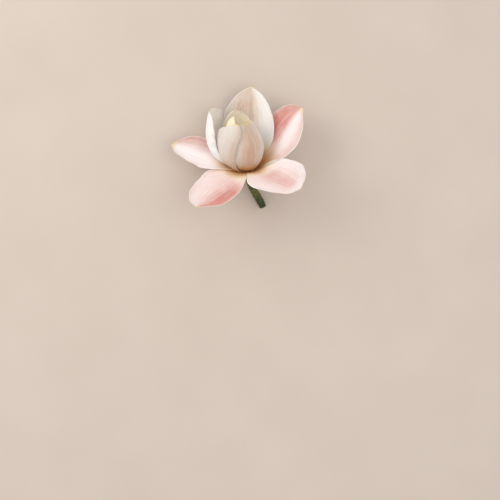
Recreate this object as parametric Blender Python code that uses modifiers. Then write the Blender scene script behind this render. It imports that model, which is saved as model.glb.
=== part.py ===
"""Lotus flower cut with a short stem and laid down, in metres, +Z up.

The flower is described upright in its growth frame: the origin is the top of the stem, +Z is the
flower's axis and azimuths turn from +X towards +Y. One empty then lays the whole flower on its
back, resting on the cut end of the stem and on both margins of the back petal, with the stem
towards -Y. The model's origin is the bottom centre of the laid flower's box.
"""

from math import comb, cos, log, pi, radians, sin

import bmesh
import bpy
import numpy as np
from mathutils import Euler, Vector

MM = 0.001

# The pose in which the flower lies, as turns of the growth frame
LEAN_BACK = 64.5
LEAN_SIDE = -4.5

# Petal blades
BLADE_THICKNESS = 1.0
BLADE_ROWS = 14
BLADE_COLUMNS = 8
BLADE_TIP_WIDTH = 2.4
CLAW_WIDTH = 8
FLATTEST_BEND = 0.001

# The closed bud: all its petals wrap one egg whose axis bows to the left
EGG_RADII = (6, 16, 38, 34, 19, 0)
EGG_HEIGHTS = (5.5, 9, 16, 50, 76, 84)
EGG_BOW = (0, -9, -12)
SHELL_PITCH = 2.3
CORE_LEAN = -0.2
CORE_FOOT = 8

# Stem and receptacle
STEM_ROUTE = ((0, 0, -3.4), (0, 0, -14), (6, 1, -26), (14, 2, -36), (19, 3, -50))
STEM_RADII = (3.0, 3.0, 4.4, 4.9, 4.3)
STEM_RINGS = 14
RECEPTACLE_PROFILE = (
    (0, 22.6), (5, 23.2), (7.6, 22.4), (8.0, 20.6), (6.2, 15.0), (3.2, 10.8), (3.6, 9.6), (4.9, 5.2),
    (6.2, 3.0), (7.2, 0.6), (7.2, -1.4), (5.2, -3.0), (0, -3.0),
)
RECEPTACLE_STEPS = 28

# Stamens stand in two rings round the seed pod: their count, and the reach and height of their tops
STAMEN_RINGS = ((10, 10.6, 33.0), (10, 12.4, 29.0))
FILAMENT_RADIUS = 0.5
ANTHER_RADIUS = 0.9

# Spread petals: the rib leaves the receptacle and climbs or droops as rise says, in degrees
# from the base to the tip; sway turns it sideways, roll turns the blade about its rib, and cup
# is half the angle that the blade bends through from margin to margin.
SPREAD_PETALS = {
    "petal_outer_left": dict(
        azimuth=175, length=87, width=54, widest=0.5, rise=(27, 5, 20, 28, 22),
        sway=(5, 5, -5), lopsided=0.12, roll=(0, 0, -36, -15), cup=(30, 20, 35, 40), radius=8.6,
        height=-1.2),
    "petal_outer_front_left": dict(
        azimuth=239, length=95, width=56, widest=0.56, rise=(20, -5, -11, -14, -6),
        sway=(0, -10, 0), lopsided=0.1, roll=(4, 0, -5, 0), cup=(30, -10, -30, -5), radius=8.6,
        height=-2),
    "petal_outer_front_right": dict(
        azimuth=307, length=88, width=62, widest=0.6, rise=(30, 6, -8, 2, 5),
        sway=(0, 0, 12), lopsided=-0.1, roll=(0, 12, 24), cup=(20, 15, 20, 20), radius=8.6,
        height=-2.2),
    "petal_outer_right": dict(
        azimuth=19, length=95, width=58, widest=0.58, full=0.5, rise=(30, 50, 60, 65, 45),
        sway=(0, -8, 0), roll=(0, 20, 20), cup=(30, 20, 40, 35), radius=8.6, height=-0.5),
    "petal_outer_back": dict(
        azimuth=95, length=80, width=50, widest=0.6, rise=(28, 32, 58, 92, 95),
        sway=(0, 0), roll=(0, 0), cup=(30, 15, -10, -20, -15), radius=8.6, height=-1.5),
    "petal_upright_back": dict(
        azimuth=84, length=99, width=66, widest=0.5, rise=(25, 60, 85, 95, 80),
        sway=(0, 0, -3), roll=(0, -10, 0), cup=(30, 45, 45, 20), radius=7.8, height=2),
    "petal_upright_left": dict(
        azimuth=172, length=94, width=60, widest=0.68, full=0.4, rise=(16, 14, 78, 105, 100),
        sway=(0, 0), lopsided=0.25, roll=(0, 0), cup=(30, 65, 75, 40), radius=7.8, height=2),
}

# Bud petals: reach is how far up the egg the tip comes, twist carries the tip round it, and shell
# counts from the outermost. Open leans the tip out from the egg, or in where it is below 0, and
# bulge (how far, where up the petal, how widely) rounds the blade out.
BUD_PETALS = {
    "petal_bud_left": dict(
        azimuth=203, twist=65, lopsided=0.35, width=50, widest=0.55, full=0.5, reach=0.77, shell=0),
    "petal_bud_right": dict(
        azimuth=320, twist=15, lopsided=0, width=68, widest=0.55, full=0.4, reach=0.76, shell=1,
        bulge=(2.8, 0.72, 0.22), open=-4.5),
    "petal_bud_back": dict(
        azimuth=95, twist=2, lopsided=0, width=54, widest=0.46, full=0.75, reach=0.85, shell=2,
        open=6),
    "petal_bud_inner_left": dict(
        azimuth=228, twist=0, lopsided=0, width=28, widest=0.5, full=0.8, reach=0.86, shell=3),
    "petal_bud_inner_right": dict(
        azimuth=-8, twist=0, lopsided=0, width=36, widest=0.55, full=0.6, reach=0.6, shell=3),
}

COLOURS = {
    "petal_pink": ((0.86, 0.66, 0.66), 0.55),
    "petal_white": ((0.86, 0.81, 0.76), 0.55),
    "petal_cream": ((0.87, 0.80, 0.64), 0.55),
    "stem_green": ((0.12, 0.20, 0.03), 0.5),
    "pod_yellow": ((0.72, 0.60, 0.16), 0.6),
    "stamen_gold": ((0.85, 0.60, 0.14), 0.6),
}


def bezier(values, t):
    """The Bernstein blend of a few control values, at every t from 0 to 1."""
    last = len(values) - 1
    return sum(comb(last, k) * t**k * (1 - t) ** (last - k) * value for k, value in enumerate(values))


def half_width(petal, t):
    """Half the blade's width along the rib: a narrow claw, a full middle and a pointed tip."""
    power = log(0.5) / log(petal["widest"])
    body = np.sin(pi * np.clip(t, 1e-6, 1 - 1e-6) ** power) ** petal.get("full", 0.6)
    body = body * (1 - 0.6 * np.exp((t - 1) / 0.03))
    claw = CLAW_WIDTH / petal["width"] * (1 - t) ** 4
    half = petal["width"] / 2
    return np.maximum(half * (body * (1 - claw) + claw), BLADE_TIP_WIDTH / 2)


def spread_blade(petal, t, v):
    """The middle surface of a spread petal, as rows of points along t and across v."""
    fine = np.linspace(0, 1, 241)
    rise = np.radians(bezier(petal["rise"], fine))
    heading = np.radians(petal["azimuth"] + bezier(petal["sway"], fine))
    tangent = np.stack(
        [np.cos(rise) * np.cos(heading), np.cos(rise) * np.sin(heading), np.sin(rise)], axis=1)
    steps = (tangent[1:] + tangent[:-1]) / 2 * petal["length"] / (len(fine) - 1)
    azimuth = radians(petal["azimuth"])
    start = np.array([petal["radius"] * cos(azimuth), petal["radius"] * sin(azimuth), petal["height"]])
    rib = start + np.concatenate([np.zeros((1, 3)), np.cumsum(steps, axis=0)])
    side = np.stack([-np.sin(heading), np.cos(heading), 0 * heading], axis=1)
    inner = np.cross(tangent, side)
    roll = np.radians(bezier(petal["roll"], fine))[:, None]
    side, inner = side * np.cos(roll) + inner * np.sin(roll), inner * np.cos(roll) - side * np.sin(roll)
    rib, side, inner = (
        np.stack([np.interp(t, fine, line[:, axis]) for axis in range(3)], axis=1)
        for line in (rib, side, inner))
    share = petal.get("lopsided", 0) * v
    half = half_width(petal, t)[:, None] * (1 - share)
    bend = np.radians(bezier(petal["cup"], t))[:, None] * (1 + share)
    bend = np.where(np.abs(bend) < FLATTEST_BEND, FLATTEST_BEND, bend)
    across = half / bend * np.sin(bend * v)
    lift = half / bend * (1 - np.cos(bend * v))
    return rib[:, None] + side[:, None] * across[..., None] + inner[:, None] * lift[..., None]


def bud_blade(petal, t, v):
    """The middle surface of a bud petal, wrapped on its own shell of the egg."""
    climb = petal["reach"] * t
    radius = bezier(EGG_RADII, climb)
    height = bezier(EGG_HEIGHTS, climb)
    along = np.stack([np.gradient(radius), np.gradient(height)])
    along = along / np.linalg.norm(along, axis=0)
    depth = -SHELL_PITCH * petal["shell"] * np.minimum(1, 0.6 + 5 * climb)
    open_share = np.clip((t - 0.45) / 0.55, 0, 1)
    radius = radius + depth * along[1] + petal.get("open", 0) * open_share**2 * (3 - 2 * open_share)
    amount, centre, spread = petal.get("bulge", (0, 0.5, 1))
    radius = radius + amount * np.exp(-(((t - centre) / spread) ** 2))
    height = height - depth * along[0]
    turn = (half_width(petal, t) / np.maximum(radius, 10))[:, None] * (1 - petal["lopsided"] * v)
    angle = np.radians(petal["azimuth"] + petal["twist"] * t**2)[:, None] + turn * v
    lift = np.broadcast_to(height[:, None], angle.shape)
    bow = bezier(EGG_BOW, climb)[:, None]
    return np.stack([bow + radius[:, None] * np.cos(angle), radius[:, None] * np.sin(angle), lift], axis=-1)


def clear_scene():
    for item in list(bpy.data.objects):
        bpy.data.objects.remove(item)


def material(name):
    """The Principled material of this name, made on first use."""
    found = bpy.data.materials.get(name)
    if found:
        return found
    colour, roughness = COLOURS[name]
    made = bpy.data.materials.new(name)
    made.use_nodes = True
    shader = made.node_tree.nodes["Principled BSDF"]
    shader.inputs["Base Color"].default_value = (*colour, 1)
    shader.inputs["Roughness"].default_value = roughness
    shader.inputs["Metallic"].default_value = 0
    made.diffuse_color = (*colour, 1)
    return made


def place(name, data, finish, flower):
    """An object of the flower, in its collection and riding on its empty."""
    piece = bpy.data.objects.new(name, data)
    data.materials.append(material(finish))
    bpy.data.collections["lotus_flower"].objects.link(piece)
    piece.parent = flower
    return piece


def add_petal(name, petal, blade, finish, flower):
    """A petal: a grid bent into its blade, thickened to one closed shell."""
    mesh = bpy.data.meshes.new(name)
    form = bmesh.new()
    bmesh.ops.create_grid(form, x_segments=BLADE_ROWS, y_segments=BLADE_COLUMNS, size=1)
    rows = np.array([(point.co.x + 1) / 2 for point in form.verts])
    columns = np.array([point.co.y for point in form.verts])
    t = np.unique(rows.round(6))
    v = np.unique(columns.round(6))
    points = blade(petal, t, v[None, :]) * MM
    row_of = np.searchsorted(t, rows.round(6))
    column_of = np.searchsorted(v, columns.round(6))
    for point, row, column in zip(form.verts, row_of, column_of):
        point.co = points[row, column]
    form.to_mesh(mesh)
    form.free()
    mesh.shade_smooth()
    piece = place(name, mesh, finish, flower)
    solidify = piece.modifiers.new("blade", "SOLIDIFY")
    solidify.thickness = BLADE_THICKNESS * MM
    solidify.offset = 0
    solidify.use_even_offset = False


def add_stem(flower):
    """The stem: a tube along a smooth curve, slim under the flower and cut square at its end."""
    curve = bpy.data.curves.new("stem", "CURVE")
    curve.dimensions = "3D"
    curve.bevel_depth = MM
    curve.bevel_resolution = 6
    curve.render_resolution_u = 0
    curve.use_fill_caps = True
    line = curve.splines.new("POLY")
    line.points.add(STEM_RINGS - 1)
    for ring, point in enumerate(line.points):
        t = ring / (STEM_RINGS - 1)
        centre = [bezier([corner[axis] for corner in STEM_ROUTE], t) * MM for axis in range(3)]
        point.co = (*centre, 1)
        point.radius = bezier(STEM_RADII, t)
    place("stem", curve, "stem_green", flower)


def core_shift(height):
    """How far the core of the flower leans to the left at a height above its foot."""
    return CORE_LEAN * max(0, height - CORE_FOOT)


def add_receptacle(flower):
    """The receptacle: the ledge that the petals grow from and the seed pod above it, turned."""
    mesh = bpy.data.meshes.new("receptacle")
    form = bmesh.new()
    corners = [form.verts.new((radius * MM, 0, height * MM)) for radius, height in RECEPTACLE_PROFILE]
    edges = [form.edges.new(pair) for pair in zip(corners, corners[1:])]
    bmesh.ops.spin(
        form, geom=corners + edges, cent=(0, 0, 0), axis=(0, 0, 1), dvec=(0, 0, 0), angle=2 * pi,
        steps=RECEPTACLE_STEPS, use_merge=True)
    bmesh.ops.remove_doubles(form, verts=form.verts[:], dist=0.00001)
    bmesh.ops.recalc_face_normals(form, faces=form.faces[:])
    for corner in form.verts:
        corner.co.x += core_shift(corner.co.z / MM) * MM
    form.to_mesh(mesh)
    form.free()
    mesh.shade_smooth()
    place("receptacle", mesh, "pod_yellow", flower)


def add_stamens(flower):
    """Stamens: each a filament that leans out round the pod and ends in a thicker anther."""
    number = 0
    for ring, (count, reach, top) in enumerate(STAMEN_RINGS):
        profile = (
            (4.6, 11.6, FILAMENT_RADIUS), (7.7, 15.5, FILAMENT_RADIUS), (9.4, 20.0, FILAMENT_RADIUS),
            (reach, top - 9, FILAMENT_RADIUS), (reach, top - 8, ANTHER_RADIUS),
            (reach, top - 1, ANTHER_RADIUS), (reach, top, ANTHER_RADIUS * 0.4))
        for seat in range(count):
            number += 1
            angle = 2 * pi * (seat + ring / 2) / count
            curve = bpy.data.curves.new(f"stamen_{number:02d}", "CURVE")
            curve.dimensions = "3D"
            curve.bevel_depth = MM
            curve.bevel_resolution = 2
            curve.render_resolution_u = 0
            curve.use_fill_caps = True
            line = curve.splines.new("POLY")
            line.points.add(len(profile) - 1)
            for point, (out, up, thickness) in zip(line.points, profile):
                point.co = (
                    (out * cos(angle) + core_shift(up)) * MM, out * sin(angle) * MM, up * MM, 1)
                point.radius = thickness
            place(curve.name, curve, "stamen_gold", flower)


def lay_down(flower):
    """Turn the flower into its resting pose and set it on the ground, its box centred on Z."""
    flower.rotation_euler = Euler((-radians(LEAN_BACK), radians(LEAN_SIDE), 0), "XYZ")
    bpy.context.view_layer.update()
    drawn = bpy.context.evaluated_depsgraph_get()
    points = []
    for piece in flower.children:
        shape = piece.evaluated_get(drawn)
        mesh = shape.to_mesh()
        points += [shape.matrix_world @ corner.co for corner in mesh.vertices]
        shape.to_mesh_clear()
    lowest = Vector([min(point[axis] for point in points) for axis in range(3)])
    highest = Vector([max(point[axis] for point in points) for axis in range(3)])
    middle = (lowest + highest) / 2
    flower.location = (-middle.x, -middle.y, -lowest.z)
    bpy.context.view_layer.update()


def main():
    clear_scene()
    collection = bpy.data.collections.new("lotus_flower")
    bpy.context.scene.collection.children.link(collection)
    flower = bpy.data.objects.new("flower_axis", None)
    collection.objects.link(flower)
    for name, petal in SPREAD_PETALS.items():
        finish = "petal_pink" if "outer" in name else "petal_white"
        add_petal(name, petal, spread_blade, finish, flower)
    for name, petal in BUD_PETALS.items():
        finish = "petal_cream" if "inner" in name else "petal_white"
        add_petal(name, petal, bud_blade, finish, flower)
    add_stem(flower)
    add_receptacle(flower)
    add_stamens(flower)
    lay_down(flower)


main()
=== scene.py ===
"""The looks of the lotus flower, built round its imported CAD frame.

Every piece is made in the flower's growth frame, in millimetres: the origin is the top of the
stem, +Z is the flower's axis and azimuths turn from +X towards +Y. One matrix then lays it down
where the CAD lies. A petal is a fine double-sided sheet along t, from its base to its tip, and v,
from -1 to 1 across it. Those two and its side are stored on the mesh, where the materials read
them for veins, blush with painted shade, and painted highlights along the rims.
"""

from math import comb, cos, log, pi, radians, sin

import bpy
import numpy as np
from mathutils import Euler, Matrix, Vector


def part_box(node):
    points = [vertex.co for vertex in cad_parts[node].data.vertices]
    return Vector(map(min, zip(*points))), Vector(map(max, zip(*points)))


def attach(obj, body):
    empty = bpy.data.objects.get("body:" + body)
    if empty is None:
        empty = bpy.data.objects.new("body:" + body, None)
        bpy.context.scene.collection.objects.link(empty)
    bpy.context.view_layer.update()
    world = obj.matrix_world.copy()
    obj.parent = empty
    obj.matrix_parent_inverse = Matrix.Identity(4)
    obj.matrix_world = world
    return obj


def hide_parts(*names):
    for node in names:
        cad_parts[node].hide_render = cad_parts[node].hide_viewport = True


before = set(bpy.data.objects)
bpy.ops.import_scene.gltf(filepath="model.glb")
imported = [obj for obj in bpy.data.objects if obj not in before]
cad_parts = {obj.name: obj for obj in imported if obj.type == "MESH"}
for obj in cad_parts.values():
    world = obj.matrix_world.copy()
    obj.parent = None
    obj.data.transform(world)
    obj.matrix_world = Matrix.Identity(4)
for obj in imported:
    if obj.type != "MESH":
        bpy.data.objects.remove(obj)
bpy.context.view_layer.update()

MM = 0.001

# What the CAD has too: the lean of the flower in degrees, and its core, stem and rings of stamens
LEAN_BACK = 64.5
LEAN_SIDE = -4.5
SHELL_PITCH = 2.3
CORE_LEAN = -0.2
CORE_FOOT = 8
STEM_ROUTE = ((0, 0, -3.4), (0, 0, -14), (6, 1, -26), (14, 2, -36), (19, 3, -50))
STEM_RADII = (3.0, 3.0, 4.4, 4.9, 4.3)
RECEPTACLE_PROFILE = (
    (0, 22.6), (5, 23.2), (7.6, 22.4), (8.0, 20.6), (6.2, 15.0), (3.2, 10.8), (3.6, 9.6), (4.9, 5.2),
    (6.2, 3.0), (7.2, 0.6), (7.2, -1.4), (5.2, -3.0), (0, -3.0),
)
RECEPTACLE_STEPS = 28
STAMEN_RINGS = ((10, 10.6, 33.0), (10, 12.4, 29.0))

# The egg that the bud petals wrap, with a lower and rounder foot than the CAD's
EGG_RADII = (7.6, 17, 37, 34, 19, 0)
EGG_HEIGHTS = (-0.2, 5, 16, 50, 76, 84)
EGG_BOW = (0, -9, -12)

# Petal sheets: their points along and across, which crowd towards the tip and the margins, and
# their widths and thicknesses at the claw, the middle, the rim and the tip
ROWS = 118
COLUMNS = 73
TIP_CROWDING = 1.45
MARGIN_CROWDING = 0.35
CLAW_WIDTH = 13
TIP_WIDTH = 0.5
CLAW_THICKNESS = 1.5
MIDDLE_THICKNESS = 0.69
RIM_THICKNESS = 0.34

# Beyond this t the blade is too narrow for normals of its own
LAST_SOUND_T = 0.985

# The smallest angle that a blade bends through, so that a flat one still has a radius
FLATTEST_BEND = 0.001

# What the third value of the blade attribute says
INNER_SIDE = 1.0
OUTER_SIDE = 0.0

# The relief of a petal's sheet, in millimetres, and how many pleats cross half a blade
PLEATS = 5.5
PLEAT_RISE = 0.10
FINE_PLEATS = 14
FINE_PLEAT_RISE = 0.045
RIB_DEPTH = 0.22
DENT_RISE = 0.35

# The stem's and the receptacle's skins
STEM_RINGS = 190
STEM_SIDES = 72
STEM_PRICKLES = 90
STEM_CUT_RINGS = 26
POD_RINGS = 150
POD_SIDES = 96
POD_OUTLINE = (
    (0.3, 22.4), (3.0, 22.9), (5.6, 23.1), (7.4, 22.5), (8.0, 20.8), (7.4, 18.0), (6.1, 15.0),
    (4.6, 12.4), (3.6, 10.8), (4.0, 9.4), (5.0, 7.4), (5.8, 5.6), (6.2, 3.6), (6.5, 1.8),
    (6.8, 0.4), (6.9, -1.2), (6.1, -2.6), (5.0, -3.3), (0.3, -3.5),
)

# Stamens: how many in a tuft, and the steps and sides of each
STAMENS_PER_TUFT = 4
STAMEN_STEPS = 26
STAMEN_SIDES = 9

# The camera: its height over the flower's own horizon, its distance, and where it aims, to the
# right of the flower's base and above it
CAMERA_RISE = 25
CAMERA_DISTANCE = 1417
CAMERA_AIM = (3.6, -96)
CAMERA_LENS = 85

# Lamps: the growth-frame way towards each, then its distance and size in metres, and its watts
LAMPS = {
    "key": dict(way=(-0.68, -0.45, 0.62), distance=1.5, size=0.9, power=10, colour=(1, 0.985, 0.965)),
    "fill": dict(way=(0.35, -0.9, 0.35), distance=1.7, size=1.2, power=8.8, colour=(1, 0.98, 0.965)),
}
LAMP_AIM_HEIGHT = 30
WORLD_COLOUR = (1.0, 0.97, 0.94, 1)
WORLD_STRENGTH = 0.88

# Spread petals, as in the CAD but with bases that start further in, and with what only the eye
# needs. Widest and full shape the outline, and lopsided makes one half broader. Rise bends the rib
# up or down and sway to the side, roll turns the blade about its rib, and cup is half the angle
# that it bends through across. Ruffle and wave are how far the margins rise and wander. Swell
# widens the halves below and above v 0 (each by how much, then centre and spread along t). Curls
# roll a margin (side, centre and spread along t, start across v, degrees inwards), hook bends the
# tip inwards, and seed sets the run of the waves.
SPREAD_PETALS = {
    "petal_outer_left": dict(
        azimuth=175, length=89, width=54, widest=0.5, rise=(27, 5, 20, 28, 22),
        sway=(5, 5, -5), lopsided=0.12, roll=(0, 0, -36, -15), cup=(30, 20, 35, 40), radius=7.4,
        height=-1.0, ruffle=0.6, curls=((-1, 0.88, 0.1, 0.5, 40),), hook=0.0, seed=1),
    "petal_outer_front_left": dict(
        azimuth=239, length=97, width=56, widest=0.56, rise=(20, -5, -11, -14, -6),
        sway=(0, -10, 0), lopsided=0.1, roll=(4, 0, -5, 0), cup=(30, -10, -30, -5), radius=7.2,
        height=-0.8, ruffle=0.5, curls=((-1, 0.3, 0.22, 0.1, 34), (1, 0.3, 0.2, 0.5, -15)), hook=0.0,
        seed=2),
    "petal_outer_front_right": dict(
        azimuth=307, length=89, width=62, widest=0.6, rise=(30, 6, -8, 2, 5),
        sway=(0, 0, 12), lopsided=-0.1, roll=(0, 12, 24), cup=(20, 15, 20, 20), radius=7.2,
        height=-0.9, ruffle=0.6, swell=(7, 0, 0.42, 0.18),
        curls=((-1, 0.82, 0.1, 0.8, 70), (1, 0.25, 0.25, 0.1, 34), (1, 0.88, 0.14, 0.3, -38)),
        hook=0.2, seed=3),
    "petal_outer_right": dict(
        azimuth=19, length=95.5, width=58, widest=0.58, full=0.5, rise=(30, 50, 60, 65, 45),
        sway=(0, -8, 0), roll=(0, 20, 20), cup=(30, 20, 40, 35), radius=7.4, height=-0.3,
        ruffle=0.5, swell=(2.5, 0, 0.6, 0.3),
        curls=((-1, 0.6, 0.3, 0.1, -26), (-1, 0.95, 0.04, 0.7, 60)), hook=-0.4, seed=4),
    "petal_outer_back": dict(
        azimuth=95, length=80, width=50, widest=0.6, rise=(28, 32, 58, 92, 95),
        sway=(0, 0), roll=(0, 0), cup=(30, 15, -10, -20, -15), radius=8.6, height=-1.5,
        ruffle=0.2, curls=(), hook=1.0, seed=5),
    "petal_upright_back": dict(
        azimuth=84, length=99, width=66, widest=0.5, rise=(25, 60, 85, 95, 80),
        sway=(0, 0, -3), roll=(0, -10, 0), cup=(30, 45, 45, 20), radius=7.8, height=2,
        ruffle=0.35, swell=(1.2, 1.5, 0.6, 0.4), curls=(), hook=-0.3, seed=6),
    "petal_upright_left": dict(
        azimuth=172, length=94, width=60, widest=0.68, full=0.4, rise=(16, 14, 78, 105, 100),
        sway=(0, 0), lopsided=0.25, roll=(0, 0), cup=(30, 65, 75, 40), radius=7.8, height=2,
        ruffle=0.9, wave=0.035, swell=(4, 0, 0.85, 0.2), curls=((1, 0.7, 0.3, 0.55, 30),), hook=0.0,
        seed=7),
}

# Bud petals: reach is how far up the egg the tip comes, twist carries it round, and shell counts
# from the outermost. Open leans the tip out, or in where it is below 0, and bulge rounds the blade
# out (how far, then centre and spread along t). Point is how much the outline narrows at the tip,
# and margins are how far the two margins stand off the shell.
BUD_PETALS = {
    "petal_bud_left": dict(
        azimuth=203, twist=65, lopsided=0.35, width=50, widest=0.55, full=0.5, reach=0.77, shell=0,
        ruffle=0.25, margins=(0.3, -1.1), hook=1.0, seed=8),
    "petal_bud_right": dict(
        azimuth=320, twist=15, lopsided=0, width=72, widest=0.55, full=0.36, point=0, reach=0.76,
        shell=1, bulge=(2.8, 0.72, 0.22), open=-4.5, ruffle=0.3, margins=(0.0, 0.3), hook=0.0, seed=9),
    "petal_bud_back": dict(
        azimuth=95, twist=2, lopsided=0, width=54, widest=0.46, full=0.75, reach=0.85, shell=2,
        open=6, ruffle=0.25, margins=(0.2, 0.4), hook=0.2, seed=10),
    "petal_bud_inner_left": dict(
        azimuth=228, twist=0, lopsided=0, width=28, widest=0.5, full=0.8, reach=0.88, shell=3,
        ruffle=0.3, margins=(0.2, 0.2), hook=0.5, seed=11),
    "petal_bud_inner_right": dict(
        azimuth=-8, twist=0, lopsided=0, width=36, widest=0.55, full=0.6, reach=0.6, shell=3,
        ruffle=0.3, margins=(0.2, 0.2), hook=0.5, seed=12),
}

# What each kind of petal is painted with: the inner face, its blush, the outer face and its blush,
# all as sRGB hex. Each blush colour is partly the petal's own blush and partly painted shade.
PAINTS = {
    "pink": ("F3E8E8", "BC7E78", "F0D3CB", "DA9C8C"),
    "white": ("F4F2EB", "AE8C76", "F4F0EA", "D9C2B2"),
    # The bud's inner face and its yellow blush are painted near white and warm, brighter than the shade in
    # the bud allows, to stand in for light let through the petals
    "bud": ("FFF6DC", "FFE3A8", "DED7D0", "AF8971"),
    "cream": ("FFF6DC", "FFE9AE", "FFF4D2", "F8DF9C"),
}
BASE_GOLD = "B27204"
BASE_CREAM = "F0E3B4"
# The painted highlight along the petals' margins
RIM_HIGHLIGHT = "FFFDF9"
TIP_OCHRE = "E3C07C"

# How far along t the gold of the base reaches
GOLD_REACH = {"petal_outer_left": 0.42, "petal_outer_right": 0.5, "petal_upright_back": 0.4}
OTHER_GOLD_REACH = 0.3

# Short names for inputs of the Principled shader
INPUTS = {
    "subsurface": "Subsurface Weight", "depth": "Subsurface Scale", "depths": "Subsurface Radius",
    "shine": "Specular IOR Level", "sheen": "Sheen Weight", "sheen_roughness": "Sheen Roughness",
}


def bezier(values, t):
    """The Bernstein blend of a few control values, at every t from 0 to 1."""
    last = len(values) - 1
    return sum(comb(last, k) * t**k * (1 - t) ** (last - k) * value for k, value in enumerate(values))


def smooth(x, low, high):
    """0 below low, 1 above high, and a smooth step between them."""
    x = np.clip((x - low) / (high - low), 0, 1)
    return x * x * (3 - 2 * x)


def bump(x, centre, spread):
    """1 at the centre, falling away on both sides of it."""
    return np.exp(-(((x - centre) / spread) ** 2))


def linear(code):
    """An sRGB hex colour as linear RGBA."""
    parts = [int(code[at:at + 2], 16) / 255 for at in (0, 2, 4)]
    return (*((p / 12.92 if p <= 0.04045 else ((p + 0.055) / 1.055) ** 2.4) for p in parts), 1)


# ---------------------------------------------------------------- where the flower lies

def core_shift(height):
    """How far the core of the flower leans to the left at a height above its foot."""
    return CORE_LEAN * np.maximum(0, np.asarray(height) - CORE_FOOT)


def laid_matrix():
    """The growth frame's matrix, in metres: its own receptacle's box is put on the CAD's."""
    turn = Euler((-radians(LEAN_BACK), radians(LEAN_SIDE), 0), "XYZ").to_matrix()
    angle = np.arange(RECEPTACLE_STEPS) * 2 * pi / RECEPTACLE_STEPS
    ring = np.array([
        (radius * cos(a) + float(core_shift(height)), radius * sin(a), height)
        for radius, height in RECEPTACLE_PROFILE for a in angle])
    spot = ring @ np.array(turn).T * MM
    low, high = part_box("receptacle")
    place = (low + high) / 2 - Vector((spot.min(0) + spot.max(0)) / 2)
    return Matrix.Translation(place) @ turn.to_4x4()


GROWTH = laid_matrix()


def to_world(points):
    """Growth-frame millimetres as world metres."""
    turn = np.array(GROWTH.to_3x3())
    return np.asarray(points) * MM @ turn.T + np.array(GROWTH.translation)


def to_world_way(way):
    """A growth-frame direction as a world one."""
    return (GROWTH.to_3x3() @ Vector(way)).normalized()


# ---------------------------------------------------------------- making pieces

def add_piece(name, points, faces, finish, nodes):
    """A mesh piece from growth-frame points, riding on the flower's one body."""
    mesh = bpy.data.meshes.new(name)
    mesh.from_pydata(to_world(points).tolist(), [], faces)
    mesh.validate()
    mesh.update()
    mesh.shade_smooth()
    mesh.materials.append(finish)
    piece = bpy.data.objects.new(name, mesh)
    bpy.context.scene.collection.objects.link(piece)
    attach(piece, "root")
    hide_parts(*nodes)
    return piece


def store(piece, name, values):
    """A vector for each point of a piece, which its material reads."""
    made = piece.data.attributes.new(name, "FLOAT_VECTOR", "POINT")
    made.data.foreach_set("vector", np.ascontiguousarray(values, np.float32).ravel())


def grid_faces(rows, columns, start=0, closed=False, flip=False):
    """Quads between neighbouring rows; closed joins the last column to the first, flip turns them."""
    faces = []
    for row in range(rows - 1):
        for column in range(columns if closed else columns - 1):
            after = (column + 1) % columns
            a, b = start + row * columns + column, start + row * columns + after
            quad = (a, b, b + columns, a + columns)
            faces.append(quad[::-1] if flip else quad)
    return faces


# ---------------------------------------------------------------- petals

def half_width(petal, t):
    """Half the blade's width along the rib: a claw, a full middle and a pointed tip."""
    power = log(0.5) / log(petal["widest"])
    body = np.sin(pi * np.clip(t, 1e-6, 1 - 1e-6) ** power) ** petal.get("full", 0.6)
    body = body * (1 - petal.get("point", 0.6) * np.exp((t - 1) / 0.03))
    claw = CLAW_WIDTH / petal["width"] * (1 - t) ** 4
    half = petal["width"] / 2
    return np.maximum(half * (body * (1 - claw) + claw), TIP_WIDTH / 2)


def margin_wave(petal, t, v):
    """How the outline wanders from its smooth course, as a share of the half width."""
    seed = petal["seed"] * 1.7
    wave = np.sin(19 * t + seed + 2 * np.sign(v)) + 0.6 * np.sin(41 * t + 2.3 * seed - np.sign(v))
    return petal.get("wave", 0.011) * wave * smooth(t, 0.1, 0.4) * (1 - smooth(t, 0.95, 1.0))


def summed(slopes, start):
    """Rows of places from the slopes between them, with the middle of each row left in its place."""
    steps = np.cumsum((slopes[:, 1:] + slopes[:, :-1]) / 2, axis=1)
    path = np.concatenate([np.zeros((len(slopes), 1)), steps], axis=1)
    middle = COLUMNS // 2
    return path - path[:, middle:middle + 1] + start[:, middle:middle + 1]


def curled(across, lift, v, curls, t):
    """The cross-sections with their margins rolled inwards, or outwards where degrees are negative."""
    turn = np.zeros_like(across)
    for side, centre, spread, start, degrees in curls:
        turn += side * radians(degrees) * bump(t, centre, spread)[:, None] * smooth(side * v, start, 1)
    run, climb = np.gradient(across, axis=1), np.gradient(lift, axis=1)
    run, climb = run * np.cos(turn) - climb * np.sin(turn), run * np.sin(turn) + climb * np.cos(turn)
    return summed(run, across), summed(climb, lift)


def rib_frames(petal, t):
    """A spread petal's rib, and the ways across the blade and towards its inner side, at every t."""
    fine = np.linspace(0, 1, 401)
    rise = np.radians(bezier(petal["rise"], fine))
    heading = np.radians(petal["azimuth"] + bezier(petal["sway"], fine))
    tangent = np.stack(
        [np.cos(rise) * np.cos(heading), np.cos(rise) * np.sin(heading), np.sin(rise)], axis=1)
    steps = (tangent[1:] + tangent[:-1]) / 2 * petal["length"] / (len(fine) - 1)
    azimuth = radians(petal["azimuth"])
    start = np.array([petal["radius"] * cos(azimuth), petal["radius"] * sin(azimuth), petal["height"]])
    rib = start + np.concatenate([np.zeros((1, 3)), np.cumsum(steps, axis=0)])
    side = np.stack([-np.sin(heading), np.cos(heading), 0 * heading], axis=1)
    inner = np.cross(tangent, side)
    roll = np.radians(bezier(petal["roll"], fine))[:, None]
    side, inner = side * np.cos(roll) + inner * np.sin(roll), inner * np.cos(roll) - side * np.sin(roll)
    return [
        np.stack([np.interp(t, fine, line[:, axis]) for axis in range(3)], axis=1)
        for line in (rib, side, inner)]


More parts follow.
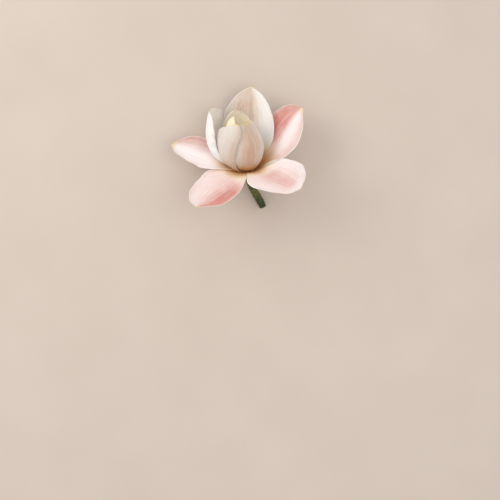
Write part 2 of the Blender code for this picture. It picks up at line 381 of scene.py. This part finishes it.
def spread_blade(petal, t, v):
    """The middle surface of a spread petal, as rows of points along t and across v."""
    rib, side, inner = rib_frames(petal, t)
    share = petal.get("lopsided", 0) * v
    half = half_width(petal, t)[:, None] * (1 - share) * (1 + margin_wave(petal, t[:, None], v))
    low, high, centre, spread = petal.get("swell", (0, 0, 0.5, 1))
    half = half + bump(t, centre, spread)[:, None] * (low * smooth(-v, 0, 1) + high * smooth(v, 0, 1))
    bend = np.radians(bezier(petal["cup"], t))[:, None] * (1 + share)
    bend = np.where(np.abs(bend) < FLATTEST_BEND, FLATTEST_BEND, bend)
    across = half / bend * np.sin(bend * v)
    lift = half / bend * (1 - np.cos(bend * v))
    across, lift = curled(across, lift, v, petal["curls"], t)
    return rib[:, None] + side[:, None] * across[..., None] + inner[:, None] * lift[..., None]


def bud_blade(petal, t, v):
    """The middle surface of a bud petal, wrapped on its own shell of the egg."""
    climb = petal["reach"] * t
    radius = bezier(EGG_RADII, climb)
    height = bezier(EGG_HEIGHTS, climb)
    along = np.stack([np.gradient(radius, t), np.gradient(height, t)])
    along = along / np.linalg.norm(along, axis=0)
    depth = -SHELL_PITCH * petal["shell"] * np.minimum(1, 0.6 + 5 * climb)
    radius = radius + depth * along[1] + petal.get("open", 0) * smooth(t, 0.45, 1)
    amount, centre, spread = petal.get("bulge", (0, 0.5, 1))
    radius = radius + amount * bump(t, centre, spread)
    height = height - depth * along[0]
    turn = (half_width(petal, t) / np.maximum(radius, 10))[:, None] * (1 - petal["lopsided"] * v)
    turn = turn * (1 + margin_wave(petal, t[:, None], v))
    angle = np.radians(petal["azimuth"] + petal["twist"] * t**2)[:, None] + turn * v
    bow = bezier(EGG_BOW, climb)[:, None]
    lift = np.broadcast_to(height[:, None], angle.shape)
    return np.stack([bow + radius[:, None] * np.cos(angle), radius[:, None] * np.sin(angle), lift], axis=-1)


def relief(petal, t, v):
    """How far the sheet rises from its smooth blade: waved margins, pleats, a rib and soft dents."""
    seed = petal["seed"] * 2.1
    body = smooth(t, 0.05, 0.3) * (1 - smooth(t, 0.9, 1))
    ruffle = np.sin(15 * t + seed + 1.6 * np.sign(v)) + 0.5 * np.sin(34 * t + 1.9 * seed + np.sign(v))
    rise = petal["ruffle"] * ruffle * np.abs(v) ** 4 * smooth(t, 0.15, 0.5) * (1 - smooth(t, 0.93, 1))
    pleats = np.cos(2 * pi * PLEATS * v + seed) * (0.4 + 0.6 * smooth(t, 0.3, 0.8))
    fine_pleats = np.cos(2 * pi * FINE_PLEATS * v + 3 * np.sin(4 * t + seed))
    dents = np.sin(5.2 * t + 2.4 * v + seed) * np.sin(3.1 * v - 4 * t + seed)
    rise = rise + (PLEAT_RISE * pleats + FINE_PLEAT_RISE * fine_pleats + DENT_RISE * dents) * body
    rise = rise - RIB_DEPTH * bump(v, 0, 0.07) * smooth(t, 0.04, 0.15) * (1 - smooth(t, 0.75, 0.95))
    return rise + 1.6 * petal["hook"] * smooth(t, 0.9, 1.04) ** 2


def bud_margins(petal, t, v):
    """How far a bud petal's margins stand off their shell, so that its rims show."""
    low, high = petal["margins"]
    off = low * smooth(-v, 0.7, 1) + high * smooth(v, 0.7, 1)
    return -off * smooth(t, 0.25, 0.7) * (1 - smooth(t, 0.88, 1))


# How much a petal blushes at t and v, where much of the blush is painted shade on the parts turned away from
# the light: on its inner face if it is pink, and else on both
BLUSH_AND_SHADE = {
    # Pink that also paints the shade on the far half, which faces away from the light
    "petal_outer_left": lambda t, v: 0.8 * smooth(-v, 0.1, 0.9) * smooth(t, 0.3, 0.6),
    # Pink that also paints the shade on its right side
    "petal_outer_front_left": lambda t, v: smooth(t, 0.08, 0.4) * (
        0.36 + 0.78 * smooth(v, -0.5, 1) * smooth(t, 0.15, 0.65) + 0.1 * smooth(-v, 0.6, 1)),
    # Pale pink that also paints the slight shade in the hollow of the cup
    "petal_outer_front_right": lambda t, v: (
        0.5 * bump(v, 0.05, 0.45) * smooth(t, 0.2, 0.45) * (1 - smooth(t, 0.8, 0.97)) + 0.2),
    # Dusky pink that also paints the shade on the half turned away from the light
    "petal_outer_right": lambda t, v: (
        0.95 * smooth(v, -0.2, 0.3) * smooth(t, 0.3, 0.55)
        + 0.5 * smooth(-v, 0.35, 0.85) * smooth(t, 0.12, 0.4) + 0.05),
    "petal_outer_back": lambda t, v: 0.3 + 0.4 * smooth(t, 0.5, 1),
    # Beige painted shade over the middle and left of the inner face, lighter at the left margin and none at
    # the right margin
    "petal_upright_back": lambda t, v: (
        0.75 * smooth(v, -0.75, 0) * smooth(t, 0.35, 0.7) - 0.25 * smooth(v, 0.3, 1)),
    # A little beige painted shade on the far half of the inner face, which is turned away from the light
    "petal_upright_left": lambda t, v: 0.12 * smooth(-v, -0.2, 0.6) * smooth(t, 0.2, 0.6),
    # Painted shade: darker towards the foot, under the petals around it, and towards the crease where it
    # meets the right bud petal
    "petal_bud_left": lambda t, v: (
        0.15 + 0.5 * smooth(v, -0.5, 0.8) * smooth(t, 0.1, 0.4) + 0.45 * (1 - smooth(t, 0.1, 0.6))),
    # Painted shade: darker across the middle of the blade and towards the foot
    "petal_bud_right": lambda t, v: (
        0.2 + 0.6 * bump(v, -0.4, 0.5) + 0.45 * (1 - smooth(t, 0.1, 0.5))),
}
OTHER_BLUSH = 0.25


def tint(name, t, v, side):
    """How much blush and painted shade, base gold and ochre tip each point of one side of a petal has."""
    blush_and_shade = BLUSH_AND_SHADE[name](t, v) if name in BLUSH_AND_SHADE else OTHER_BLUSH
    gold = 1 - smooth(t, 0.05, GOLD_REACH.get(name, OTHER_GOLD_REACH) + 0.06 * np.cos(3 * v))
    tip = smooth(t, 0.965, 1.0)
    if name == "petal_outer_left":
        tip = smooth(t, 0.9, 1.0)
    elif name == "petal_outer_right":
        tip = smooth(t, 0.9, 1.0) * smooth(-v, -0.6, 0.6)
    if "bud" in name and side == OUTER_SIDE:
        gold = 1 - smooth(t, 0.14, 0.44)
    if "outer" in name and side == OUTER_SIDE:
        blush_and_shade = 0.25 + 0.55 * np.maximum(smooth(np.abs(v), 0.45, 1), smooth(t, 0.7, 1))
        tip = tip * 0.5
    return np.stack(np.broadcast_arrays(blush_and_shade, gold, tip, v)[:3], axis=-1)


def sheet_faces():
    """A petal's faces: its inner sheet, its outer sheet, and the strip that joins them all round."""
    count = ROWS * COLUMNS
    faces = grid_faces(ROWS, COLUMNS, flip=True) + grid_faces(ROWS, COLUMNS, start=count)
    grid = np.arange(count).reshape(ROWS, COLUMNS)
    rim = np.concatenate([grid[0, :-1], grid[:-1, -1], grid[-1, :0:-1], grid[:0:-1, 0]]).tolist()
    return faces + [(a, b, b + count, a + count) for a, b in zip(rim, rim[1:] + rim[:1])]


def add_petal(name, petal, blade, finish):
    """A petal: its inner and outer sheets, thinner towards the rim, closed all round."""
    t = 1 - (1 - np.linspace(0, 1, ROWS)) ** TIP_CROWDING
    even = np.linspace(-1, 1, COLUMNS)
    v = ((1 + MARGIN_CROWDING) * even - MARGIN_CROWDING * even**3)[None, :]
    middle = blade(petal, t, v)
    normal = np.cross(np.gradient(middle, axis=0), np.gradient(middle, axis=1))
    normal /= np.maximum(np.linalg.norm(normal, axis=2, keepdims=True), 1e-9)
    last_sound = np.searchsorted(t, LAST_SOUND_T)
    normal[last_sound:] = normal[last_sound, COLUMNS // 2]
    column = t[:, None]
    rise = relief(petal, column, v)
    if "margins" in petal:
        rise = rise + bud_margins(petal, column, v)
    claw = (CLAW_THICKNESS - RIM_THICKNESS) * (1 - column) ** 1.6 * (1 - 0.8 * v**4)
    body = (MIDDLE_THICKNESS - RIM_THICKNESS) * (1 - np.abs(v) ** 3) * (1 - smooth(column, 0.8, 1))
    thick = RIM_THICKNESS + claw + body
    sheets = [middle + normal * (rise + way * thick / 2)[..., None] for way in (1, -1)]
    points = np.concatenate([sheet.reshape(-1, 3) for sheet in sheets])
    piece = add_piece(f"{name}_skin", points, sheet_faces(), finish, [name])
    sides = (INNER_SIDE, OUTER_SIDE)
    places = [np.stack(np.broadcast_arrays(column, v, side), axis=-1) for side in sides]
    tints = [tint(name, column, v, side) for side in sides]
    for label, grids in (("blade", places), ("tint", tints)):
        store(piece, label, np.concatenate([grid.reshape(-1, 3) for grid in grids]))


# ---------------------------------------------------------------- node helpers

def node(tree, kind, sockets=(), **settings):
    """A shader node; sockets pairs an input with a value or with another node's output."""
    made = tree.nodes.new(f"ShaderNode{kind}")
    for name, value in settings.items():
        setattr(made, name, value)
    for socket, value in dict(sockets).items():
        if isinstance(value, bpy.types.NodeSocket):
            tree.links.new(value, made.inputs[socket])
        else:
            made.inputs[socket].default_value = value
    return made


def calc(tree, operation, a, b=0.0, c=0.0):
    return node(tree, "Math", {0: a, 1: b, 2: c}, operation=operation).outputs[0]


def span(tree, value, low, high, to_low=0.0, to_high=1.0):
    """The value's way from low to high as a smooth step from to_low to to_high."""
    made = node(
        tree, "MapRange", {0: value, 1: low, 2: high, 3: to_low, 4: to_high},
        interpolation_type="SMOOTHSTEP")
    return made.outputs[0]


def noise(tree, vector, scale, detail, rough):
    return node(
        tree, "TexNoise",
        {"Vector": vector, "Scale": scale, "Detail": detail, "Roughness": rough}).outputs["Fac"]


def lanes(tree, across, many, along, few, seed):
    """Noise places squeezed across a surface, so that the noise there runs in streaks along it."""
    return node(tree, "CombineXYZ", {
        0: calc(tree, "MULTIPLY", across, many), 1: calc(tree, "MULTIPLY", along, few), 2: seed,
    }).outputs[0]


def blend_colours(tree, share, a, b, kind="MIX"):
    return node(
        tree, "Mix", {0: share, 6: a, 7: b}, data_type="RGBA", blend_type=kind).outputs[2]


def veil(tree, colour, share, code, most=1.0):
    """The colour with another, an sRGB hex code, over it: nowhere at share 0, at most where it is 1."""
    return blend_colours(tree, calc(tree, "MULTIPLY", share, most), colour, linear(code))


def new_material(name):
    """A material with its tree, its Principled shader and the piece's place in millimetres."""
    made = bpy.data.materials.new(name)
    made.use_nodes = True
    tree = made.node_tree
    shader = tree.nodes["Principled BSDF"]
    place = node(tree, "TexCoord").outputs["Object"]
    place = node(tree, "VectorMath", {0: place, 1: (1000, 1000, 1000)}, operation="MULTIPLY").outputs[0]
    return made, tree, shader, place


def dress(tree, shader, colour, rough, bump_height, strength, distance, **settings):
    """Link a shader's colour, roughness and bump, and set its other inputs by their names."""
    skin = node(tree, "Bump", {"Height": bump_height, "Strength": strength, "Distance": distance})
    tree.links.new(colour, shader.inputs["Base Color"])
    tree.links.new(rough, shader.inputs["Roughness"])
    tree.links.new(skin.outputs["Normal"], shader.inputs["Normal"])
    for name, value in settings.items():
        shader.inputs[INPUTS[name]].default_value = value


def petal_material(name, paint, seed):
    """Petal skin: veins that run from base to tip, blush that also paints shade, a golden base, painted
    highlights along the rims, fine bumps.
    """
    made, tree, shader, place = new_material(name)
    inner, inner_blush_and_shade, outer, outer_blush_and_shade = (linear(code) for code in PAINTS[paint])
    blade = node(tree, "Attribute", attribute_name="blade").outputs["Vector"]
    tints = node(tree, "Attribute", attribute_name="tint").outputs["Vector"]
    t, v, side = node(tree, "SeparateXYZ", {0: blade}).outputs
    blush_and_shade, gold, tip = node(tree, "SeparateXYZ", {0: tints}).outputs
    streak = noise(tree, lanes(tree, v, 17.0, t, 2.2, seed), 1.0, 3.0, 0.55)
    thread = noise(tree, lanes(tree, v, 46.0, t, 3.5, seed + 3.0), 1.0, 2.0, 0.6)
    cloud = noise(tree, place, 0.09, 3.0, 0.5)
    grain = noise(tree, place, 2.6, 3.0, 0.6)

    ground = blend_colours(tree, side, outer, inner)
    blush_and_shade_colour = blend_colours(tree, side, outer_blush_and_shade, inner_blush_and_shade)
    pattern = calc(
        tree, "ADD", span(tree, streak, 0.32, 0.68, -0.12, 0.12), span(tree, cloud, 0.3, 0.7, -0.06, 0.06))
    share = calc(
        tree, "MULTIPLY_ADD", blush_and_shade, calc(tree, "ADD", pattern, 0.92), calc(tree, "MULTIPLY", pattern, 0.16))
    share = node(tree, "Clamp", {0: share}).outputs[0]
    # The blush colour laid on by the blush mask, which also paints the shade
    colour = blend_colours(tree, share, ground, blush_and_shade_colour)
    veins = calc(tree, "MULTIPLY", span(tree, thread, 0.42, 0.7), 0.12)
    colour = blend_colours(tree, veins, colour, blend_colours(tree, 0.5, blush_and_shade_colour, ground, "MULTIPLY"))
    colour = veil(tree, colour, span(tree, t, 0.42, 0.08), BASE_CREAM, 0.75)
    heart = calc(tree, "MULTIPLY", gold, span(tree, streak, 0.2, 0.75, 0.9, 1.0))
    colour = veil(tree, colour, heart, BASE_GOLD)
    # Painted highlight: a thin bright line along the margins, where light catches the edge
    rim = span(tree, calc(tree, "ABSOLUTE", v), 0.965, 0.995)
    colour = veil(tree, colour, calc(tree, "MULTIPLY", rim, span(tree, t, 0.15, 0.35)), RIM_HIGHLIGHT, 0.6)
    colour = veil(tree, colour, tip, TIP_OCHRE, 0.85)

    rough = calc(
        tree, "ADD", span(tree, thread, 0.3, 0.7, 0.42, 0.56), span(tree, grain, 0.3, 0.7, -0.05, 0.05))
    height = calc(tree, "ADD", calc(tree, "MULTIPLY", thread, 0.8), calc(tree, "MULTIPLY", streak, 0.9))
    height = calc(tree, "ADD", height, calc(tree, "MULTIPLY", grain, 0.16))
    dress(tree, shader, colour, rough, height, 0.55, 0.0004, subsurface=0.6, depth=0.005,
          depths=(1.0, 0.8, 0.68), shine=0.35, sheen=0.12, sheen_roughness=0.4)
    return made


# ---------------------------------------------------------------- stem, receptacle, stamens

def tube_faces(rows, sides):
    """The faces of a tube of rings, closed by a cap at each end."""
    last = (rows - 1) * sides
    caps = [tuple(range(sides))[::-1], tuple(last + k for k in range(sides))]
    return grid_faces(rows, sides, closed=True) + caps


def spokes_along(points, angle):
    """The way of a line at each of its points, and the spokes round it there, without twist."""
    way = np.gradient(points, axis=0)
    way /= np.linalg.norm(way, axis=1, keepdims=True)
    first = np.cross(way[0], (0.3, 1, 0.2))
    one = [first / np.linalg.norm(first)]
    for step in range(1, len(points)):
        turned = one[-1] - way[step] * (one[-1] @ way[step])
        one.append(turned / np.linalg.norm(turned))
    two = np.cross(way, one)
    return way, np.array(one)[:, None] * np.cos(angle)[:, None] + two[:, None] * np.sin(angle)[:, None]


def stem_skin(line, t, angle):
    """The stem's radius at every ring and angle: its flare, ribs, rings and prickles."""
    draw = np.random.default_rng(7)
    radius = (bezier(STEM_RADII, t) + 2.1 * np.exp(-t / 0.035))[:, None]
    length = np.concatenate([[0], np.cumsum(np.linalg.norm(np.diff(line, axis=0), axis=1))])[:, None]
    skin = radius + 0.06 * np.cos(9 * angle + 0.8 * np.sin(7 * t[:, None]))
    skin = skin + 0.08 * np.sin(length / 2.7 + 2 * np.cos(angle))
    places = draw.uniform(3, length[-1, 0] - 1.5, STEM_PRICKLES)
    turns = draw.uniform(0, 2 * pi, STEM_PRICKLES)
    heights = draw.uniform(0.2, 0.5, STEM_PRICKLES)
    for prickle, turn, tall in zip(places, turns, heights):
        far = np.abs((angle - turn + pi) % (2 * pi) - pi) * radius
        skin = skin + tall * np.exp(-((length - prickle) ** 2 + far**2) / 0.22)
    return skin


def cut_depth(x, y):
    """How deep the stem's cut face lies at shares of its radius: air canals and uneven flesh."""
    canals = [(0.36 * cos(a), 0.36 * sin(a), 0.165) for a in (0.5, 2.1, 3.6, 5.2)]
    canals += [(0.72 * cos(a), 0.72 * sin(a), 0.085) for a in np.arange(9) * 2 * pi / 9 + 0.2]
    canals.append((0.0, 0.0, 0.07))
    sunk = np.zeros_like(x)
    for canal_x, canal_y, size in canals:
        far = np.hypot(x - canal_x, y - canal_y)
        sunk = np.maximum(sunk, 1 - smooth(far, size * 0.75, size * 1.15))
    return 1.6 * sunk - 0.12 * np.sin(9 * x + 3) * np.sin(8 * y)


def add_stem():
    """The stem: ribbed and prickly skin, and a cut end with the air canals of a lotus stem."""
    t = np.linspace(0, 1, STEM_RINGS)
    line = np.stack([bezier([corner[axis] for corner in STEM_ROUTE], t) for axis in range(3)], axis=1)
    angle = np.arange(STEM_SIDES) * 2 * pi / STEM_SIDES
    skin = stem_skin(line, t, angle)
    way, spokes = spokes_along(line, angle)
    rings = list(line[:, None] + spokes * skin[..., None])
    for share in np.linspace(0.97, 0.02, STEM_CUT_RINGS):
        depth = cut_depth(share * np.cos(angle), share * np.sin(angle)) + 0.1 * (share < 0.9)
        rings.append(line[-1] + spokes[-1] * (share * skin[-1])[:, None] - way[-1] * depth[:, None])
    piece = add_piece(
        "stem_skin", np.concatenate(rings), tube_faces(len(rings), STEM_SIDES), stem_material(),
        ["stem"])
    along = np.concatenate([t, np.ones(STEM_CUT_RINGS)])
    cut = np.concatenate([np.zeros(STEM_RINGS), np.ones(STEM_CUT_RINGS)])
    store(piece, "blade", np.stack([
        np.repeat(along, STEM_SIDES), np.tile(angle / (2 * pi), len(rings)), np.repeat(cut, STEM_SIDES),
    ], axis=1))


def stem_material():
    """Stem skin: mottled green with olive streaks and dark flecks, and a pale, moist cut face."""
    made, tree, shader, place = new_material("stem_skin")
    blade = node(tree, "Attribute", attribute_name="blade").outputs["Vector"]
    t, around, cut = node(tree, "SeparateXYZ", {0: blade}).outputs
    streak = noise(tree, lanes(tree, around, 60.0, t, 7.0, 0.0), 1.0, 3.0, 0.55)
    cloud = noise(tree, place, 0.22, 3.0, 0.55)
    fleck = noise(tree, place, 1.9, 2.0, 0.6)
    colour = blend_colours(tree, span(tree, cloud, 0.35, 0.65), linear("222E02"), linear("545A02"))
    colour = veil(tree, colour, span(tree, streak, 0.45, 0.75), "8A8A10", 0.55)
    colour = veil(tree, colour, span(tree, fleck, 0.6, 0.72), "263D0C", 0.6)
    colour = veil(tree, colour, span(tree, t, 0.2, 0.0), "A3A63A")
    colour = veil(tree, colour, span(tree, t, 0.5, 0.95), "161E02", 0.8)
    colour = veil(tree, colour, cut, "A9B777")
    height = calc(tree, "ADD", calc(tree, "MULTIPLY", streak, 0.7), calc(tree, "MULTIPLY", fleck, 0.4))
    dress(tree, shader, colour, span(tree, streak, 0.3, 0.7, 0.32, 0.5), height, 0.6, 0.0005,
          subsurface=0.12, depth=0.001, shine=0.45)
    return made


def softened(line):
    """A line of values with its corners rounded off."""
    weights = np.exp(-0.5 * (np.arange(-4, 5) / 2.0) ** 2)
    return np.convolve(np.pad(line, 4, mode="edge"), weights / weights.sum(), mode="valid")


def carpel_rise(x, y):
    """How far the pod's top rises at a place: a knob in a sunken ring for every carpel."""
    carpels = [(0, 0)] + [(3.0 * cos(a), 3.0 * sin(a)) for a in np.arange(5) * 2 * pi / 5]
    carpels += [(5.9 * cos(a), 5.9 * sin(a)) for a in np.arange(10) * 2 * pi / 10 + 0.3]
    rise = np.zeros_like(x)
    for carpel_x, carpel_y in carpels:
        far = np.hypot(x - carpel_x, y - carpel_y)
        rise = rise + 0.75 * bump(far, 0, 0.42) - 0.5 * bump(far, 0.85, 0.3)
    return rise


def add_receptacle():
    """The receptacle: the ledge and cone that the petals grow from, and the seed pod on top."""
    outline = np.array(POD_OUTLINE)
    reach = np.concatenate([[0], np.cumsum(np.linalg.norm(np.diff(outline, axis=0), axis=1))])
    fine = np.linspace(0, reach[-1], POD_RINGS)
    radius, height = (softened(np.interp(fine, reach, outline[:, axis])) for axis in range(2))
    radius[0] = radius[-1] = 0.05
    angle = np.arange(POD_SIDES) * 2 * pi / POD_SIDES
    z = np.repeat(height[:, None], POD_SIDES, axis=1)
    scars = 1 + 0.0032 * np.cos(11 * angle) * smooth(z, 12, 0)
    x = radius[:, None] * np.cos(angle) * scars
    y = radius[:, None] * np.sin(angle) * scars
    top = smooth(z, 21.0, 22.2) * (np.arange(POD_RINGS) < POD_RINGS // 3)[:, None]
    z = z + top * carpel_rise(x, y)
    points = np.stack([x + core_shift(z), y, z], axis=-1).reshape(-1, 3)
    piece = add_piece(
        "receptacle_skin", points, tube_faces(POD_RINGS, POD_SIDES), receptacle_material(),
        ["receptacle"])
    height = points[:, 2]
    around = np.tile(angle, POD_RINGS) / (2 * pi)
    store(piece, "blade", np.stack([height / 25, around, smooth(height, 9.5, 12)], axis=1))


def receptacle_material():
    """Receptacle skin: cream and gold where petals join, yellow-green on the pod."""
    made, tree, shader, place = new_material("receptacle_skin")
    blade = node(tree, "Attribute", attribute_name="blade").outputs["Vector"]
    pod = node(tree, "SeparateXYZ", {0: blade}).outputs[2]
    cloud = span(tree, noise(tree, place, 0.5, 3.0, 0.55), 0.3, 0.7)
    speck = noise(tree, place, 2.2, 3.0, 0.6)
    foot = blend_colours(tree, cloud, linear("DDB272"), linear("F0D3A0"))
    head = blend_colours(tree, cloud, linear("C9B43C"), linear("E2D372"))
    colour = blend_colours(tree, pod, foot, head)
    colour = veil(tree, colour, span(tree, speck, 0.55, 0.75), "8C7A22", 0.4)
    dress(tree, shader, colour, span(tree, speck, 0.3, 0.7, 0.42, 0.6), speck, 0.5, 0.0004,
          subsurface=0.2, depth=0.0015)
    return made


def stamen_parts(angle, reach, top, lean):
    """One stamen: a thin filament, a long anther and the pale club at its end."""
    out = np.array([4.6, 7.2, 9.0, reach, reach + 0.3 * lean, reach + 0.1 * lean])
    up = np.array([11.6, 15.0, 19.5, top - 9, top - 4, top])
    corners = np.linspace(0, 1, len(out))
    share = np.linspace(0, 1, STAMEN_STEPS)
    out, up = np.interp(share, corners, out), np.interp(share, corners, up)
    for line in (out, up):
        line[1:-1] = (line[:-2] + 2 * line[1:-1] + line[2:]) / 4
    x = out * np.cos(angle + 0.04 * lean * share) + core_shift(up)
    y = out * np.sin(angle + 0.04 * lean * share)
    radius = 0.24 + 0.42 * smooth(share, 0.58, 0.66) * (1 - smooth(share, 0.86, 0.92))
    radius = radius + 0.22 * bump(share, 0.97, 0.03)
    radius[-1] = 0.12
    line = np.stack([x, y, up], axis=1)
    _, spokes = spokes_along(line, np.arange(STAMEN_SIDES) * 2 * pi / STAMEN_SIDES)
    points = line[:, None] + spokes * radius[:, None, None]
    return points.reshape(-1, 3), np.repeat(share, STAMEN_SIDES)


def add_stamens(finish):
    """Tufts of stamens, one tuft for each stamen of the CAD."""
    draw = np.random.default_rng(11)
    seats = [
        (2 * pi * (seat + ring / 2) / count, reach, top)
        for ring, (count, reach, top) in enumerate(STAMEN_RINGS) for seat in range(count)]
    size = STAMEN_STEPS * STAMEN_SIDES
    quads = tube_faces(STAMEN_STEPS, STAMEN_SIDES)
    faces = [tuple(start * size + k for k in face) for start in range(STAMENS_PER_TUFT) for face in quads]
    for number, (middle, reach, top) in enumerate(seats, 1):
        points, shares = [], []
        for _ in range(STAMENS_PER_TUFT):
            angle = middle + draw.uniform(-0.26, 0.26)
            far, tall = reach + draw.uniform(-1.4, 0.7), top + draw.uniform(-3.5, 1.2)
            made, share = stamen_parts(angle, far, tall, draw.uniform(-3, 3))
            points.append(made)
            shares.append(share)
        name = f"stamen_{number:02d}"
        piece = add_piece(f"{name}_tuft", np.concatenate(points), faces, finish, [name])
        share = np.concatenate(shares)
        store(piece, "blade", np.stack([share, 0 * share, 0 * share], axis=1))


def stamen_material():
    """Stamens: cream filaments, golden powdery anthers and pale clubs."""
    made, tree, shader, place = new_material("stamen_gold")
    blade = node(tree, "Attribute", attribute_name="blade").outputs["Vector"]
    share = node(tree, "SeparateXYZ", {0: blade}).outputs[0]
    grain = noise(tree, place, 3.5, 3.0, 0.6)
    anther = blend_colours(tree, span(tree, grain, 0.35, 0.65), linear("D99A1E"), linear("F4C64A"))
    colour = blend_colours(tree, span(tree, share, 0.55, 0.62), linear("F2E3A6"), anther)
    colour = veil(tree, colour, span(tree, share, 0.88, 0.92), "FBF6DF")
    dress(tree, shader, colour, span(tree, grain, 0.3, 0.7, 0.55, 0.8), grain, 0.6, 0.0003,
          subsurface=0.15, depth=0.001)
    return made


# ---------------------------------------------------------------- stage, light and camera

def add_stage():
    """A plain pale floor under the flower."""
    mesh = bpy.data.meshes.new("floor")
    mesh.from_pydata([(-3, -3, 0), (3, -3, 0), (3, 3, 0), (-3, 3, 0)], [], [(0, 1, 2, 3)])
    made, tree, shader, place = new_material("floor")
    cloud = noise(tree, place, 0.01, 3.0, 0.5)
    colour = blend_colours(tree, cloud, linear("B9ADA3"), linear("C2B7AD"))
    tree.links.new(colour, shader.inputs["Base Color"])
    shader.inputs["Roughness"].default_value = 0.85
    mesh.materials.append(made)
    floor = bpy.data.objects.new("floor", mesh)
    bpy.context.scene.collection.objects.link(floor)


def add_lamp(name, way, distance, size, power, colour):
    """A soft square lamp that faces the flower from a growth-frame direction."""
    lamp = bpy.data.lights.new(name, "AREA")
    lamp.size = size
    lamp.energy = power
    lamp.color = colour
    light = bpy.data.objects.new(name, lamp)
    away = to_world_way(way)
    light.location = GROWTH @ Vector((0, 0, LAMP_AIM_HEIGHT * MM)) + away * distance
    light.rotation_euler = away.to_track_quat("Z", "Y").to_euler()
    bpy.context.scene.collection.objects.link(light)


def add_camera():
    """The camera, at the height over the flower's own horizon from which it was seen."""
    rise = radians(CAMERA_RISE)
    right = Vector((1, 0, 0))
    up = Vector((0, sin(rise), cos(rise)))
    back = Vector((0, -cos(rise), sin(rise)))
    spot = back * CAMERA_DISTANCE
    behind = (spot - right * CAMERA_AIM[0] - up * CAMERA_AIM[1]).normalized()
    across = up.cross(behind).normalized()
    turn = GROWTH.to_3x3() @ Matrix((across, behind.cross(across), behind)).transposed()
    data = bpy.data.cameras.new("camera")
    data.lens = CAMERA_LENS
    data.sensor_width = 36
    data.clip_end = 20
    camera = bpy.data.objects.new("camera", data)
    camera.matrix_world = Matrix.Translation(GROWTH @ (spot * MM)) @ turn.to_4x4()
    bpy.context.scene.collection.objects.link(camera)
    bpy.context.scene.camera = camera


def add_world():
    """A pale, even sky."""
    world = bpy.data.worlds.new("studio")
    world.use_nodes = True
    ground = world.node_tree.nodes["Background"]
    ground.inputs["Color"].default_value = WORLD_COLOUR
    ground.inputs["Strength"].default_value = WORLD_STRENGTH
    bpy.context.scene.world = world
    bpy.context.scene.view_settings.view_transform = "Standard"


def main():
    add_stage()
    add_world()
    add_camera()
    for name, lamp in LAMPS.items():
        add_lamp(name, **lamp)
    finishes = {
        "pink": petal_material("petal_pink_skin", "pink", 0.0),
        "white": petal_material("petal_white_skin", "white", 5.0),
        "bud": petal_material("petal_bud_skin", "bud", 9.0),
        "cream": petal_material("petal_cream_skin", "cream", 13.0),
    }
    for name, petal in SPREAD_PETALS.items():
        kind = "pink" if "outer" in name else "white"
        add_petal(name, petal, spread_blade, finishes[kind])
    for name, petal in BUD_PETALS.items():
        if "inner" in name:
            add_petal(name, petal, bud_blade, finishes["cream"])
        else:
            add_petal(name, petal, bud_blade, finishes["bud"])
    add_stem()
    add_receptacle()
    add_stamens(stamen_material())


main()
